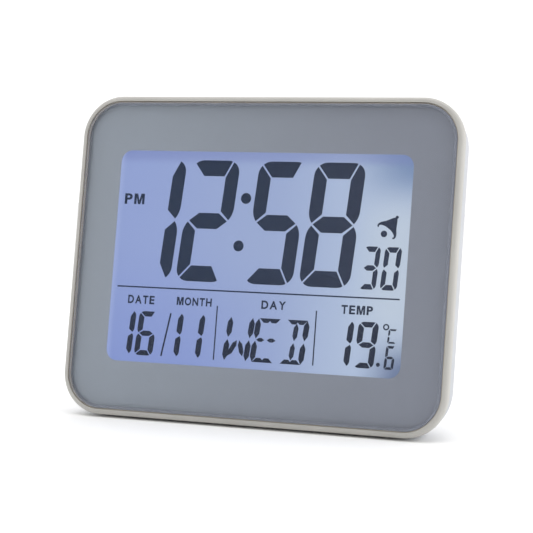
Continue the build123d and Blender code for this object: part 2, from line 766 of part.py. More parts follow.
def rear_case():
    """Rear shell with the battery hump and bay, screw tubes, vents and control openings."""
    shell = fillet(front_edges(pillow(0, RIM_DEPTH)), PARTING_EASE)
    body = shell + hump(0, bay_outer)
    body -= below(base_level)
    inside = pillow(WALL, RIM_DEPTH - 1) + hump(WALL, bay_outer)
    body -= inside - below(base_level + WALL)
    body += battery_tray() - below(base_level)
    for x, z in four_corners(case_screw_x, case_screw_z):
        tube = rod(x, z, CASE_TUBE, CASE_BOSS_TOP, case_back)
        body += tube & pillow(0, RIM_DEPTH)
    for x, z in four_corners(case_screw_x, case_screw_z):
        body -= rod(x, z, CASE_SCREW[0] + SHANK_CLEARANCE, 0, case_back)
        body -= rod(x, z, CASE_SCREW[1] + HEAD_CLEARANCE, SCREW_SEAT, hump_back + 1)
    seat = rod(sounder_x, sounder_z, SOUNDER_RADIUS + SEAT_OUTER, sounder_back, inner_back + 0.5)
    body += seat - rod(sounder_x, sounder_z, SOUNDER_RADIUS - SEAT_INNER, 0, case_back)
    body -= wall_openings()
    body -= bay_openings()
    return body - foot_pockets()


def battery_tray():
    """Walls of the battery bay and the frame that the door closes on."""
    half = bay_width / 2 + BAY_WALL
    low = bay_bottom - BAY_WALL
    high = bay_top + BAY_WALL
    seat = door_width / 2 + DOOR_FRAME
    seat_low = pivot_z - pivot_radius - DOOR_MARGIN / 3
    seat_high = door_top + DOOR_FRAME
    seat_front = door_inside - DOOR_FRAME_DEPTH
    tray = block(-half, half, bay_outer, door_inside, low, high)
    return tray + block(-seat, seat, seat_front, door_inside + 0.2, seat_low, seat_high)


def wall_openings():
    """Holes for the buttons, slider and bar, the sounder's grille and the vents."""
    front = inner_back - 0.5
    back = case_back + 1
    cuts = [rod(x, button_row, BUTTON_RADIUS + BUTTON_GAP, front, back) for x in button_xs]
    slot_length = SLIDER_KNOB + SLIDER_TRAVEL + 2 * SLOT_GAP
    cuts.append(bar(slider_x, button_row, slot_length, KNOB_HEIGHT + 2 * SLOT_GAP, front, back))
    for i in range(GRILLE_SLOTS):
        place = i - (GRILLE_SLOTS - 1) / 2
        length = GRILLE_LENGTH - GRILLE_TAPER * place * place
        x = sounder_x + GRILLE_PITCH * place
        cuts.append(slot(x, sounder_z, GRILLE_SLOT, length, front, back))
    for i in range(VENT_SLOTS):
        x = vent_x + VENT_PITCH * (i - (VENT_SLOTS - 1) / 2)
        cuts.append(slot(x, vent_z, VENT_SLOT, VENT_LENGTH, front, back))
    cuts.append(bar_plan(BAR_GAP, flat_top, case_height / 2 + 1))
    return Compound(children=cuts)


def bay_openings():
    """The bay itself, the door's recess and pivot holes, the finger notch and the tab slots."""
    half = bay_width / 2
    bay = block(-half, half, bay_floor, hump_back + 1, bay_bottom, bay_top)
    bay += door_form(DOOR_GAP, DOOR_GAP)
    reach = door_width / 2 + PIVOT_LENGTH + PIVOT_END_GAP
    bay += rod_x(pivot_y, pivot_z, pin_radius + PIVOT_CLEARANCE, -reach, reach)
    notch_y = hump_back + NOTCH_RADIUS - NOTCH_DEPTH
    bay += Pos(0, notch_y, door_top + DOOR_FRAME) * Sphere(NOTCH_RADIUS)
    for z in (upper_cell, lower_cell):
        bay += tab(z, half - 1, half + BAY_WALL + 1, TAB_CLEARANCE)
    return bay


def battery_door():
    """Door plate with a round pivot edge, two pivot pins and a latch tongue."""
    half = door_width / 2
    body = block(-half, half, door_inside, hump_back, pivot_z, door_top)
    body = fillet(body.edges().filter_by(Axis.Y).sort_by(Axis.Z)[-2:], DOOR_CORNER)
    body += rod_x(pivot_y, pivot_z, pivot_radius, -half, half)
    reach = half + PIVOT_LENGTH
    body += rod_x(pivot_y, pivot_z, pin_radius, -reach, reach)
    side = TONGUE_WIDTH / 2
    top = bay_top - TONGUE_GAP
    tongue_tip = door_inside - TONGUE_REACH
    body += block(-side, side, tongue_tip, door_inside + 0.5, top - TONGUE_THICKNESS, top)
    for i in range(GRIP_GROOVES):
        z = door_top - GRIP_PITCH * (i + 2) - GRIP_GROOVE / 2
        body -= bar(0, z, GRIP_WIDTH, GRIP_GROOVE, hump_back - GRIP_GROOVE, hump_back + 1)
    return body


def door_pad():
    """Foam strip inside the door that steadies the cells."""
    middle = (upper_cell + lower_cell) / 2
    return bar(0, middle, PAD_LENGTH, PAD_WIDTH, door_inside - PAD_THICKNESS, door_inside)


# ---- Battery cells and contacts ----

def cell(z, side):
    """One cylindrical cell, its positive nub towards side."""
    tip = contact_face - CONTACT_DIMPLE
    shoulder = tip - NUB_LENGTH
    can = fillet(rod_x(cell_axis, z, CELL_RADIUS, tip - CELL_LENGTH, shoulder).edges(), 0.5)
    body = can + rod_x(cell_axis, z, NUB_RADIUS, shoulder - 0.5, tip)
    return body if side > 0 else mirror(body, Plane.YZ)


def spring(z):
    """Tapered contact spring at the right-hand end: rings of square wire joined by risers."""
    half = SPRING_WIRE / 2
    pitch = (SPRING_LENGTH - SPRING_WIRE) / (SPRING_TURNS - 1)
    radii = [SPRING_RADIUS - SPRING_TAPER * i for i in range(SPRING_TURNS)]
    body = None
    for i, radius in enumerate(radii):
        x = contact_face - pitch * i
        ring = rod_x(cell_axis, z, radius + half, x - SPRING_WIRE, x)
        ring -= rod_x(cell_axis, z, radius - half, x - 2 * SPRING_WIRE, x + 1)
        body = ring if body is None else body + ring
        if i:
            side = 1 if i % 2 else -1
            ends = sorted((z + side * (radius - half), z + side * (radii[i - 1] + half)))
            body += block(x - 0.1, x + pitch - SPRING_WIRE + 0.1, cell_axis - half, cell_axis + half, *ends)
    return body


def contact_plate(z, height):
    """Flat spring-steel plate at the right-hand end of the bay."""
    side = CONTACT_WIDTH / 2
    back = contact_face + CONTACT_THICKNESS
    return block(contact_face, back, cell_axis - side, cell_axis + side, z - height / 2, z + height / 2)


def tab(z, x0, x1, clearance=0.0):
    """Solder tab through the bay's end wall, or the slot for it."""
    side = TAB_THICKNESS / 2 + clearance
    half = TAB_WIDTH / 2 + clearance
    y = cell_axis - TAB_OFFSET
    return block(x0, x1, y - side, y + side, z - half, z + half)


def contact_tab(z):
    return tab(z, contact_face + CONTACT_THICKNESS / 2, tab_end)


def dimple(z):
    return rod_x(cell_axis, z, DIMPLE_RADIUS, contact_face - CONTACT_DIMPLE, contact_face + 0.1)


def positive_contact():
    plate_and_dimple = contact_plate(upper_cell, CONTACT_HEIGHT) + dimple(upper_cell)
    return plate_and_dimple + contact_tab(upper_cell)


def negative_contact():
    plate_and_spring = contact_plate(lower_cell, CONTACT_HEIGHT) + spring(lower_cell)
    return plate_and_spring + contact_tab(lower_cell)


def link_contact():
    """One plate across both cells at the left-hand end: spring above, dimple below."""
    middle = (upper_cell + lower_cell) / 2
    height = upper_cell - lower_cell + CONTACT_HEIGHT
    body = contact_plate(middle, height) + spring(upper_cell) + dimple(lower_cell)
    return mirror(body, Plane.YZ)


# ---- Wires ----

def wire(points, radii, radius):
    """A round wire along straight runs joined by arcs."""
    path = FilletPolyline(*points, radius=radii)
    section = Plane(origin=points[0], z_dir=Vector(*points[1]) - Vector(*points[0])) * Circle(radius)
    return sweep(section, path=path)


def battery_lead(z, side):
    """From a contact's tab, round to the board's rear."""
    y = cell_axis - TAB_OFFSET
    x = tab_end + side
    pad = hump_top - LEAD_PAD_DROP
    points = [(tab_end, y, z), (x, y, z), (x, board_back + 3.2, pad), (x, board_back, pad)]
    return wire(points, [2.2, 1.2], BATTERY_LEAD)


def sounder_lead(front, radius_in):
    """From the sounder disc down to the board."""
    z = sounder_z + 4.0
    x = sounder_x - radius_in
    y = board_back + 1.3
    points = [(x, front, z), (x, y, z), (x - 8.0, y, z + 3.0), (x - 8.0, board_back, z + 3.0)]
    return wire(points, [1.0, 0.8], SOUNDER_LEAD)


def sounder_disc():
    """Brass disc on its ring seat."""
    return rod(sounder_x, sounder_z, SOUNDER_RADIUS, sounder_back - SOUNDER_DISC, sounder_back)


def sounder_ceramic():
    back = sounder_back - SOUNDER_DISC
    return rod(sounder_x, sounder_z, CERAMIC_RADIUS, back - CERAMIC_THICKNESS, back)


# ---- Fasteners and feet ----

def case_screws():
    places = four_corners(case_screw_x, case_screw_z)
    tip = bezel_back + TIP_FLOOR
    return Compound(children=[screw(x, z, SCREW_SEAT, tip, CASE_SCREW) for x, z in places])


def board_screws():
    places = four_corners(board_screw_x, BOARD_SCREW_Z)
    tip = bezel_back + TIP_FLOOR
    return Compound(children=[screw(x, z, board_back, tip, BOARD_SCREW) for x, z in places])


def foot_discs(radius, low):
    """A disc at each foot's place, up into the base."""
    places = [(side * x, y) for side in (-1, 1) for x, y in (front_foot, rear_foot)]
    top = FOOT_PROUD + FOOT_SUNK
    return Compound(children=[on_table(x, y, radius, low, top) for x, y in places])


def rubber_feet():
    return foot_discs(FOOT_RADIUS, 0)


def foot_pockets():
    return foot_discs(FOOT_RADIUS + FOOT_GAP, -1)


# ---- Assembly ----

def all_pieces():
    pieces = {
        "front_bezel": front_bezel(),
        "front_lens": front_lens(),
        "printed_mask": printed_mask(),
        "lcd_front_polariser": lcd_front_polariser(),
        "lcd_front_glass": lcd_front_glass(),
        "lcd_rear_glass": lcd_rear_glass(),
        "lcd_rear_polariser": lcd_rear_polariser(),
        "diffuser_film": diffuser_film(),
        "light_guide": light_guide(),
        "reflector_film": reflector_film(),
        "led_board": led_board(),
        "backlight_leds": backlight_leds(),
        "led_pins": led_pins(),
        "display_frame": display_frame(),
        "connector_strip": connector_strip(),
        "main_board": main_board(),
        "chip_blob": chip_blob(),
        "quartz_crystal": quartz_crystal(),
        "capacitor": capacitor(),
        "chip_resistors": chip_resistors(),
        "temperature_sensor": temperature_sensor(),
        "switch_bodies": switch_bodies(),
        "snooze_switch": snooze_switch(),
        "slide_switch": slide_switch(),
        "alarm_slider": alarm_slider(),
        "snooze_bar": snooze_bar(),
        "snooze_plunger": snooze_plunger(),
        "rear_case": rear_case(),
        "battery_door": battery_door(),
        "door_pad": door_pad(),
        "upper_cell": cell(upper_cell, 1),
        "lower_cell": cell(lower_cell, -1),
        "positive_contact": positive_contact(),
        "negative_contact": negative_contact(),
        "link_contact": link_contact(),
        "red_lead": battery_lead(upper_cell, LEAD_SIDES[0]),
        "black_lead": battery_lead(lower_cell, LEAD_SIDES[1]),
        "sounder_disc": sounder_disc(),
        "sounder_ceramic": sounder_ceramic(),
        "sounder_lead_outer": sounder_lead(sounder_back - SOUNDER_DISC, 8.6),
        "sounder_lead_inner": sounder_lead(sounder_back - SOUNDER_DISC - CERAMIC_THICKNESS, 5.0),
        "case_screws": case_screws(),
        "board_screws": board_screws(),
        "rubber_feet": rubber_feet(),
    }
    for name, x in zip(BUTTON_NAMES, button_xs):
        pieces[f"{name}_button"] = rear_button(x)
        pieces[f"{name}_plunger"] = button_plunger(x)
    return pieces


def stand(pieces):
    """Lean every piece back and put the middle of the footprint at the origin."""
    leaned = {name: Rot(-LEAN, 0, 0) * piece for name, piece in pieces.items()}
    boxes = [piece.bounding_box() for piece in leaned.values()]
    middle_x = (min(box.min.X for box in boxes) + max(box.max.X for box in boxes)) / 2
    middle_y = (min(box.min.Y for box in boxes) + max(box.max.Y for box in boxes)) / 2
    shift = Pos(-middle_x, -middle_y, -table_level)
    return {name: shift * piece for name, piece in leaned.items()}


os.makedirs("parts", exist_ok=True)
for node, shape in stand(all_pieces()).items():
    export_step(shape, f"parts/{node}.step")
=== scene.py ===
"""Desk alarm clock: the looks of every piece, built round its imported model."""

import math

import bpy
from mathutils import Matrix, Vector


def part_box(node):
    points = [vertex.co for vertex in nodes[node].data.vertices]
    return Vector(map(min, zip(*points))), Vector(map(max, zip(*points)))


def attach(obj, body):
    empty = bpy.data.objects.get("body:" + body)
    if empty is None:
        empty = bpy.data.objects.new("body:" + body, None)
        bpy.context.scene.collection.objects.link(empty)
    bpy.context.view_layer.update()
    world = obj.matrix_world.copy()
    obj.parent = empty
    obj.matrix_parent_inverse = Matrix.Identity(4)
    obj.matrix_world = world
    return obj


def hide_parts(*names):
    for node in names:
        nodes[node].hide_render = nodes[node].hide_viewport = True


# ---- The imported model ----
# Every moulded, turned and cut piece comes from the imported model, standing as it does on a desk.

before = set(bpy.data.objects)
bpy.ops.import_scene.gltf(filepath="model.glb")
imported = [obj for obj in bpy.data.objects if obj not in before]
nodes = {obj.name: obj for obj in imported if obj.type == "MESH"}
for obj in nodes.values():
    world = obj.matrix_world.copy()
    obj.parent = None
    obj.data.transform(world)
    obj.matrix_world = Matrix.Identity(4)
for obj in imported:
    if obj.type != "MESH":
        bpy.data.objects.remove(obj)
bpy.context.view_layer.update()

MM = 0.001
LEAN = math.radians(11.4)  # the face leans back from upright
lens_low, lens_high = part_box("front_lens")
panel_middle = (lens_low + lens_high) / 2
FACE = Matrix.Translation(panel_middle) @ Matrix.Rotation(math.pi / 2 - LEAN, 4, "X")


def reach(node):
    """A node's lowest and highest corners, seen square to the face: right, up, towards the viewer."""
    to_face = FACE.inverted()
    points = [to_face @ vertex.co for vertex in nodes[node].data.vertices]
    low = Vector(min(point[i] for point in points) for i in range(3))
    high = Vector(max(point[i] for point in points) for i in range(3))
    return low, high


# ---- Front bezel ----
# Injection-moulded ABS in off-white: one frame that holds the lens in front and plugs into
# the rear case. The steel was polished and then lightly blasted, so it has a fine satin skin.


def paint(red, green, blue):
    """A colour from 0-255 screen values, as the linear light that a shader takes."""
    shares = [value / 255 for value in (red, green, blue)]
    linear = [s / 12.92 if s <= 0.04045 else ((s + 0.055) / 1.055) ** 2.4 for s in shares]
    return (*linear, 1.0)


class Shade:
    """One output of a finish's nodes. Arithmetic on it adds Math nodes."""

    def __init__(self, finish, socket):
        self.finish = finish
        self.socket = socket

    def math(self, operation, *others):
        return self.finish.node("ShaderNodeMath", {"operation": operation}, [self, *others])

    def __add__(self, other):
        return self.math("ADD", other)

    __radd__ = __add__

    def __sub__(self, other):
        return self.math("SUBTRACT", other)

    def __rsub__(self, other):
        return (self * -1.0) + other

    def __mul__(self, other):
        return self.math("MULTIPLY", other)

    def size(self):
        """Its distance from nought."""
        return self.math("ABSOLUTE")

    def at_least(self, other):
        return self.math("MAXIMUM", other)

    def at_most(self, other):
        return self.math("MINIMUM", other)

    def over(self, start, end):
        """0 below start, 1 above end, and an even S-curve between them."""
        settings = {"interpolation_type": "SMOOTHSTEP"}
        return self.finish.node("ShaderNodeMapRange", settings, [self, start, end])


class Finish:
    """A material on one Principled shader, with its fixed sockets set by name."""

    def __init__(self, name, **fixed):
        self.material = bpy.data.materials.new(name)
        self.material.use_nodes = True
        self.tree = self.material.node_tree
        self.surface = self.tree.nodes["Principled BSDF"]
        for socket, value in fixed.items():
            self.surface.inputs[socket.replace("_", " ")].default_value = value

    def node(self, kind, settings, inputs, output=0):
        """Add a node, set it, and give its inputs, by place or by name, values or links."""
        node = self.tree.nodes.new(kind)
        for name, value in settings.items():
            setattr(node, name, value)
        pairs = inputs.items() if isinstance(inputs, dict) else enumerate(inputs)
        for place, value in pairs:
            if isinstance(value, Shade):
                self.tree.links.new(value.socket, node.inputs[place])
            else:
                node.inputs[place].default_value = value
        return Shade(self, node.outputs[output])

    def place(self):
        """The point being shaded, in the piece's own coordinates."""
        return self.node("ShaderNodeTexCoord", {}, {}, "Object")

    def place_on_face(self):
        """The same point measured from the middle of the panel: right, up and out."""
        inputs = {
            "Vector": self.place(),
            "Location": panel_middle,
            "Rotation": (math.pi / 2 - LEAN, 0, 0),
        }
        return self.node("ShaderNodeMapping", {"vector_type": "TEXTURE"}, inputs)

    def split(self, vector):
        """A vector's three parts."""
        first = self.node("ShaderNodeSeparateXYZ", {}, [vector])
        return [Shade(self, socket) for socket in first.socket.node.outputs]

    def noise(self, grain, detail=2.0):
        """Soft noise from 0 to 1, with patches about one grain across."""
        inputs = {"Vector": self.place(), "Scale": 1 / grain, "Detail": detail}
        return self.node("ShaderNodeTexNoise", {}, inputs)

    def mix(self, factor, first, second):
        """A colour between two, which are colours or links."""
        return self.node("ShaderNodeMix", {"data_type": "RGBA"}, {0: factor, 6: first, 7: second}, 2)

    def feed(self, socket, value):
        self.tree.links.new(value.socket, self.surface.inputs[socket])

    def mottle(self, factor, first, second):
        """Colour the surface between two colours."""
        self.feed("Base Color", self.mix(factor, first, second))

    def bump(self, height, depth):
        """Raise the surface by a height from 0 to 1, times a depth in metres."""
        inputs = {"Height": height, "Distance": depth, "Strength": 1.0}
        self.feed("Normal", self.node("ShaderNodeBump", {}, inputs))


def coat(finish, *names):
    """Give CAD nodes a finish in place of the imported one."""
    for name in names:
        for holder in nodes[name].material_slots:
            holder.material = finish.material


def satin_moulding(name, colour, roughness, grain, depth):
    """Moulded plastic: an eroded skin, soft flow patches and slightly uneven gloss."""
    finish = Finish(name, Specular_IOR_Level=0.45)
    patches = finish.noise(14 * MM, 3.0)
    skin = finish.noise(grain, 3.0)
    deeper = tuple(value * 0.93 for value in colour[:3]) + (1.0,)
    finish.mottle(patches.over(0.3, 0.75), deeper, colour)
    finish.feed("Roughness", skin * 0.10 + patches * 0.06 + (roughness - 0.08))
    finish.bump(skin, depth)
    return finish


BEZEL_CREAM = paint(186, 184, 179)
bezel_satin = satin_moulding("bezel_satin", BEZEL_CREAM, 0.42, 0.25 * MM, 0.006 * MM)
coat(bezel_satin, "front_bezel")


# ---- Lens and printed mask ----
# The lens is clear acrylic sheet with a fine bevel, let into the bezel. Behind it lies a
# film screen-printed in even grey, with a window left clear for the display.

MASK_GREY = paint(167, 176, 187)
BEVEL_BAND = 1.25 * MM
LENS_BEVEL = 0.7 * MM
LENS_CORNER = 10.85 * MM
LENS_LIFT = 0.03 * MM  # air between the lens and the print
LENS_VEIL = 0.01  # how much the plain sheet hides
GLANCE_VEIL = 0.35  # how much more it hides at a flat angle
EDGE_VEIL = 0.5  # and along the bevel, and again at its rim


def inside_edge(finish, width, height, corner):
    """How far a point lies inside a rounded rectangle on the face."""
    across, up, _ = finish.split(finish.place_on_face())
    past_x = across.size() - (width / 2 - corner)
    past_y = up.size() - (height / 2 - corner)
    outside_x = past_x.at_least(0.0)
    outside_y = past_y.at_least(0.0)
    rounded = (outside_x * outside_x + outside_y * outside_y).math("SQRT")
    straight = past_x.at_least(past_y).at_most(0.0)
    return corner - rounded - straight


lens_face_low, lens_face_high = reach("front_lens")
LENS_WIDTH = lens_face_high.x - lens_face_low.x
LENS_HEIGHT = lens_face_high.y - lens_face_low.y

clear_acrylic = Finish("clear_acrylic", IOR=1.49, Specular_IOR_Level=0.6)
edge_depth = inside_edge(clear_acrylic, LENS_WIDTH, LENS_HEIGHT, LENS_CORNER)
# Painted shade: along the bevel the sheet is made less clear so that its grey-blue shows, a painted
# darker reflection of the bevel; at its rim a brownish line is painted over the shadowed gap to the
# bezel.
bevel_shade = 1.0 - edge_depth.over(0.25 * BEVEL_BAND, BEVEL_BAND * 1.3)
rim_shade_line = 1.0 - edge_depth.over(0.05 * MM, 0.3 * MM)
glance = clear_acrylic.node("ShaderNodeFresnel", {}, {"IOR": 1.35})
veil = LENS_VEIL + glance * GLANCE_VEIL + bevel_shade * EDGE_VEIL + rim_shade_line * EDGE_VEIL
clear_acrylic.feed("Alpha", veil.at_most(1.0))
# The grey-blue is the bevel's painted shade and the brown is the painted shade of the rim's gap.
clear_acrylic.mottle(rim_shade_line, paint(156, 162, 176), paint(190, 178, 160))
clear_acrylic.feed("Roughness", clear_acrylic.noise(9 * MM) * 0.05 + 0.03)


def only(obj):
    """Select one object and make it active, with all else deselected."""
    bpy.ops.object.select_all(action="DESELECT")
    obj.select_set(True)
    bpy.context.view_layer.objects.active = obj


def finish_piece(obj, name, finish, body="clock"):
    """Name a modelled piece, give it its finish, and fasten it to its body."""
    obj.name = name
    obj.data.name = name
    obj.data.materials.clear()
    obj.data.materials.append(finish.material)
    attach(obj, body)
    return obj


def smooth(obj, degrees):
    """Shade a piece smooth where its faces meet at less than an angle."""
    only(obj)
    bpy.ops.object.shade_smooth_by_angle(angle=math.radians(degrees))


bpy.ops.object.select_all(action="DESELECT")
bpy.ops.mesh.primitive_plane_add(size=1.0)
lens = bpy.context.object
lens.data.transform(Matrix.Diagonal((LENS_WIDTH, LENS_HEIGHT, 1, 1)))
lens.data.transform(Matrix.Translation((0, 0, lens_face_low.z + LENS_LIFT)))
bpy.ops.object.mode_set(mode="EDIT")
bpy.ops.mesh.select_mode(type="VERT")
bpy.ops.mesh.select_all(action="SELECT")
bpy.ops.mesh.bevel(offset=LENS_CORNER, segments=20, affect="VERTICES")
bpy.ops.mesh.select_mode(type="FACE")
bpy.ops.mesh.select_all(action="SELECT")
side_height = lens_face_high.z - lens_face_low.z - LENS_BEVEL / 2 - LENS_LIFT
bpy.ops.mesh.extrude_region_move(TRANSFORM_OT_translate={"value": (0, 0, side_height)})
for share_in, share_up in ((0.3, 0.4), (0.3, 0.35), (0.4, 0.25), (0.1, 0.0)):
    bpy.ops.mesh.inset(thickness=LENS_BEVEL * share_in, depth=LENS_BEVEL / 2 * share_up)
bpy.ops.mesh.select_all(action="SELECT")
bpy.ops.mesh.normals_make_consistent(inside=False)
bpy.ops.object.mode_set(mode="OBJECT")
smooth(lens, 20)
lens.data.transform(FACE)
finish_piece(lens, "lens_sheet", clear_acrylic)
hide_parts("front_lens")

grey_print = Finish("grey_print", Specular_IOR_Level=0.35)
mask_across, _, _ = grey_print.split(grey_print.place_on_face())
print_screen = grey_print.noise(0.18 * MM, 1.0)
print_patch = grey_print.noise(30 * MM, 2.0)
# Painted shade: the grey darkens from left to right across the panel, as the light falls on it; the
# fine screen grain and the soft patches are the print's own.
shade_to_right = grey_print.mix(mask_across.over(-60 * MM, 60 * MM), MASK_GREY, paint(150, 155, 168))
screen_grain_and_shade = grey_print.mix(print_screen * 0.12, shade_to_right, paint(138, 143, 155))
grey_print.mottle(print_patch * 0.10, screen_grain_and_shade, paint(168, 170, 173))
grey_print.feed("Roughness", print_screen * 0.08 + 0.32)
grey_print.bump(print_screen, 0.002 * MM)
coat(grey_print, "printed_mask")


# ---- Display glass ----
# A liquid crystal cell: two thin glass plates between polarising films, lit from behind by
# an edge-lit guide. The light comes in at the right, so the window is palest there.

display_front = reach("lcd_front_polariser")[1].z

BACKLIGHT = 0.93
lit_film = Finish("lit_film", Roughness=0.35, Specular_IOR_Level=0.25, Emission_Strength=BACKLIGHT)
lit_across, lit_up, _ = lit_film.split(lit_film.place_on_face())
lit = lit_film.mix(lit_across.over(-46 * MM, 6 * MM), paint(146, 163, 212), paint(156, 172, 210))
lit = lit_film.mix(lit_across.over(0.0, 36 * MM), lit, paint(178, 194, 220))
low_left = lit_up.over(8 * MM, -34 * MM) * lit_across.over(24 * MM, -30 * MM)
lit = lit_film.mix(low_left * 0.75, lit, paint(130, 148, 208))
top_right = lit_up.over(12 * MM, 30 * MM) * lit_across.over(22 * MM, 46 * MM)
lit = lit_film.mix(top_right, lit, paint(122, 144, 180))
low_right = lit_up.over(-14 * MM, -32 * MM) * lit_across.over(30 * MM, 47 * MM)
lit = lit_film.mix(low_right, lit, paint(98, 113, 146))
column = lit_across.over(24 * MM, 41 * MM) * lit_up.over(26 * MM, 10 * MM)
column = column * lit_up.over(-30 * MM, -12 * MM)
lit = lit_film.mix(column * 0.85, lit, paint(193, 206, 221))
# A painted shadow of the mask's top edge along the top of the window, and a painted highlight along
# the window's left edge.
top_shade = lit_up.over(27.5 * MM, 31 * MM)
lit = lit_film.mix(top_shade * 0.5, lit, paint(120, 132, 186))
left_edge_highlight = lit_across.over(-45.6 * MM, -47.6 * MM)
lit = lit_film.mix(left_edge_highlight * 0.4, lit, paint(176, 190, 232))
lit_film.feed("Emission Color", lit)
film_grain = lit_film.noise(0.08 * MM) * 0.3
lit_film.mottle(film_grain, paint(34, 38, 52), paint(52, 58, 74))
coat(lit_film, "lcd_front_polariser")


# ---- Display characters ----
# Dark liquid crystal shapes with hairline gaps, leaning a little to the right. They are thin
# plates on the front film: time, seconds, bell, date, weekday, temperature and the fixed words.

PLATE = 0.04 * MM
CHARACTER_SLANT = 0.078
ARTWORK_MIDDLE = (-1.43 * MM, 0.31 * MM)  # from the middle of the panel
ARTWORK_SCALE = 1.0077
ARTWORK_LIFT = 0.01 * MM  # air between the film and the plates
artwork_place = Matrix.Translation((*ARTWORK_MIDDLE, display_front + ARTWORK_LIFT))
print_plane = FACE @ artwork_place @ Matrix.Scale(ARTWORK_SCALE, 4)

crystal = Finish("crystal", Roughness=0.4, Specular_IOR_Level=0.2)
crystal_across, crystal_up, _ = crystal.split(crystal.place_on_face())
navy = crystal.mix(crystal_across.over(-20 * MM, 46 * MM), paint(44, 58, 82), paint(60, 68, 88))
navy = crystal.mix(crystal_up.over(0.0, -30 * MM) * 0.6, navy, paint(38, 42, 56))
crystal.mottle(crystal.noise(0.5 * MM) * 0.2, navy, paint(58, 68, 96))


def arc(x, y, radius, start, end, steps=6):
    """Points along an arc, with its angles in degrees."""
    angles = [math.radians(start + (end - start) * i / steps) for i in range(steps + 1)]
    return [(x + radius * math.cos(a), y + radius * math.sin(a)) for a in angles]


DISPLAY_PRINT = (crystal, "display_film", "clock", print_plane)


def lay_plates(name, outlines, gap=0.0, style=DISPLAY_PRINT):
    """Thin plates, each pulled in by half the gap; style is a finish, slot, body and plane, and the
    slot is not used.
    """
    finish, slot, body, plane = style
    mesh = bpy.data.meshes.new(name)
    points = [(x, y, 0.0) for outline in outlines for x, y in outline]
    faces = []
    for outline in outlines:
        start = len(sum(faces, []))
        faces.append(list(range(start, start + len(outline))))
    mesh.from_pydata(points, [], faces)
    plates = bpy.data.objects.new(name, mesh)
    bpy.context.scene.collection.objects.link(plates)
    only(plates)
    bpy.ops.object.mode_set(mode="EDIT")
    bpy.ops.mesh.select_mode(type="FACE")
    bpy.ops.mesh.select_all(action="SELECT")
    bpy.ops.mesh.normals_make_consistent(inside=False)
    if gap:
        bpy.ops.mesh.inset(thickness=gap / 2, use_individual=True)
        bpy.ops.mesh.select_all(action="INVERT")
        bpy.ops.mesh.delete(type="FACE")
        bpy.ops.mesh.select_all(action="SELECT")
    bpy.ops.mesh.extrude_region_move(TRANSFORM_OT_translate={"value": (0, 0, PLATE)})
    bpy.ops.mesh.select_all(action="SELECT")
    bpy.ops.mesh.normals_make_consistent(inside=False)
    bpy.ops.object.mode_set(mode="OBJECT")
    mesh.transform(plane)
    return finish_piece(plates, name, finish, body)


def slanted(points, x, y):
    """Move points to a place on the face and lean them as the characters lean."""
    placed = [(px + x, py + y) for px, py in points]
    return [(px + CHARACTER_SLANT * py, py) for px, py in placed]


def digit_segments(width, height, level, upright):
    """The seven outlines of a digit, a to g; level and upright are its stroke widths."""
    left = upright
    right = width - upright
    low = level
    high = height - level
    middle = height / 2
    bend = upright * 0.89
    waist = level * 0.79
    nip = upright * 0.33
    hollow = (waist**2 + nip**2) / (2 * nip)
    turn = math.degrees(math.asin(min(1.0, waist / hollow)))
    inner = {
        "a": [(right, high), (left, high)],
        "b": [(right, middle + level * 0.55), (right, high)],
        "c": [(right, low), (right, middle - level * 0.55)],
        "d": [(left, low), (right, low)],
        "e": [(left, middle - level * 0.55), (left, low)],
        "f": [(left, high), (left, middle + level * 0.55)],
    }
    left_top = arc(bend, height - bend, bend, 180, 135, 3)
    top_left = arc(bend, height - bend, bend, 135, 90, 3)
    top_right = arc(width - bend, height - bend, bend, 90, 66, 2)
    right_top = arc(width - bend, height - bend, bend, 66, 0, 4)
    left_low = arc(bend, bend, bend, 225, 180, 3)
    low_left = arc(bend, bend, bend, 270, 225, 3)
    low_right = arc(width - bend, bend, bend, -58, -90, 2)
    right_low = arc(width - bend, bend, bend, 0, -58, 4)
    waist_left_up = arc(hollow, middle + waist, hollow, 180, 180 + turn, 4)
    waist_left_down = arc(hollow, middle - waist, hollow, 180 - turn, 180, 4)
    waist_right_up = arc(width - hollow, middle + waist, hollow, -turn, 0, 4)
    waist_right_down = arc(width - hollow, middle - waist, hollow, 0, turn, 4)
    level_half = level / 2
    bar_left = left + level * 0.03
    bar_right = right - level * 0.03
    return {
        "a": inner["a"] + top_left + top_right,
        "b": inner["b"] + right_top + waist_right_up[::-1],
        "c": inner["c"] + waist_right_down[::-1] + right_low,
        "d": inner["d"] + low_right + low_left,
        "e": inner["e"] + left_low + waist_left_down[::-1],
        "f": inner["f"] + waist_left_up[::-1] + left_top,
        "g": [
            (nip, middle),
            (bar_left, middle - level_half),
            (bar_right, middle - level_half),
            (width - nip, middle),
            (bar_right, middle + level_half),
            (bar_left, middle + level_half),
        ],
    }


LIT_SEGMENTS = {
    "0": "abcdef",
    "1": "bc",
    "2": "abged",
    "3": "abgcd",
    "5": "afgcd",
    "6": "afgecd",
    "8": "abcdefg",
    "9": "abcdfg",
    "C": "afed",
}


def lay_number(name, text, x, y, pitch, width, height, level, upright, gap):
    """A row of digits, with the first one's lower left corner at x and y."""
    cell = digit_segments(width, height, level, upright)
    outlines = []
    for place, character in enumerate(text):
        for segment in LIT_SEGMENTS.get(character, ""):
            outlines.append(slanted(cell[segment], x + pitch * place, y))
    return lay_plates(name, outlines, gap)


